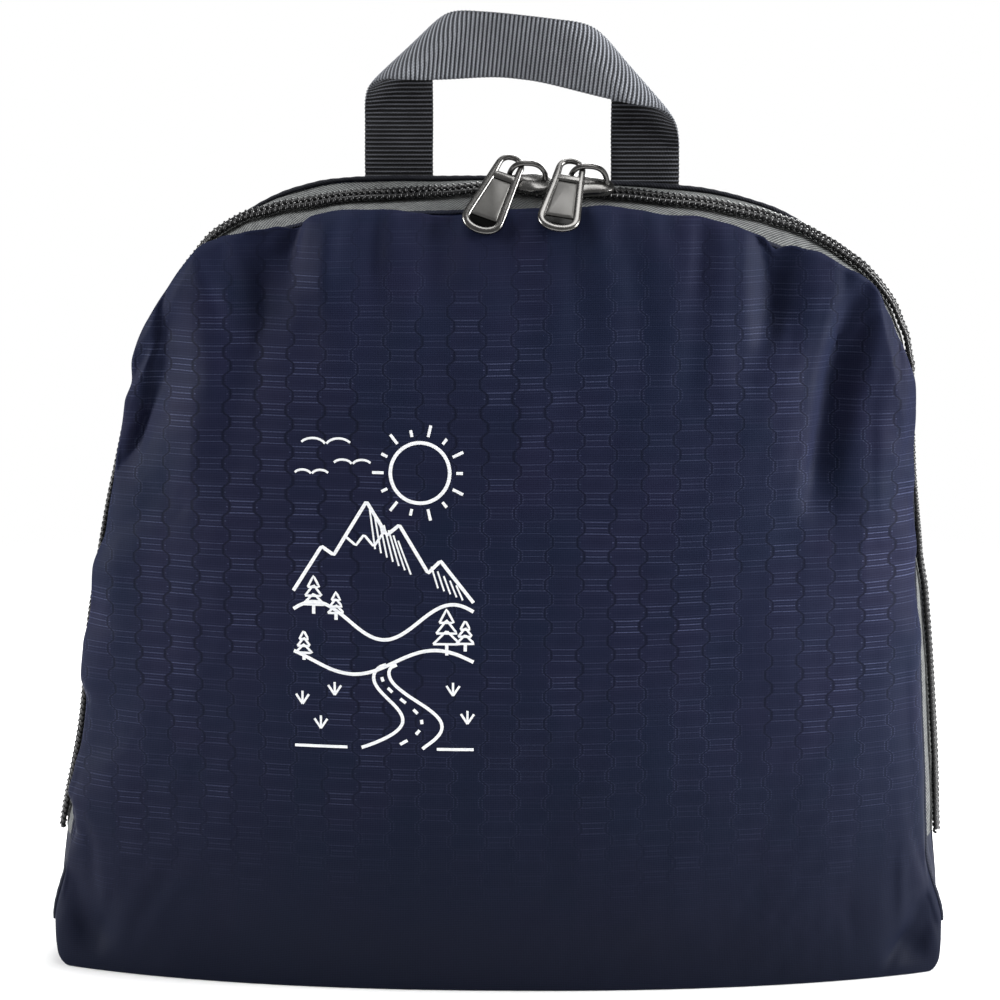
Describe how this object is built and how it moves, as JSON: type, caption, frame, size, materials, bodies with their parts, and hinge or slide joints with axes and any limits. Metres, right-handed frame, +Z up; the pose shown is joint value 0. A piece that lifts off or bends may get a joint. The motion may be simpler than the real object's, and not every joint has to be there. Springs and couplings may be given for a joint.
{
  "type": "packable backpack in its pouch",
  "caption": "Packable backpack folded into its own zipped pouch, with a webbing carry handle on top and a two-way zip whose metal pulls swing.",
  "frame": {"origin": "on the floor, under the middle of the object's bounding box", "axes": "+Z up along the pouch to the handle, front towards -Y, +X to the viewer's right"},
  "size_m": [0.2362, 0.0494, 0.2419],
  "materials": {
    "cloth": "navy ripstop nylon with a slight sheen",
    "tape": "matt grey woven tape",
    "coil": "black nylon coil",
    "binding": "matt dark bias tape",
    "webbing": "ribbed grey nylon webbing",
    "metal": "polished gunmetal plating"
  },
  "bodies": {
    "pouch": {"front_panel": "cloth", "back_panel": "cloth", "base_gusset": "cloth", "folded_pack": "cloth", "zip_tape_front": "tape", "zip_tape_back": "tape", "zip_coil_front": "coil", "zip_coil_back": "coil", "back_binding": "binding", "handle": "webbing", "slider_left": "metal", "slider_right": "metal"},
    "pull_left": {"pull_left": "metal"},
    "pull_right": {"pull_right": "metal"}
  },
  "joints": [
    {"name": "pull_left_swing", "type": "hinge", "parent": "pouch", "child": "pull_left", "pos_m": [0.00215, 0.00904, 0.20463], "axis": [-0.9994, 0, 0.0358], "range_deg": [0, 60]},
    {"name": "pull_right_swing", "type": "hinge", "parent": "pouch", "child": "pull_right", "pos_m": [0.01732, 0.00905, 0.204], "axis": [-0.9983, 0, 0.0587], "range_deg": [0, 52]}
  ]
}
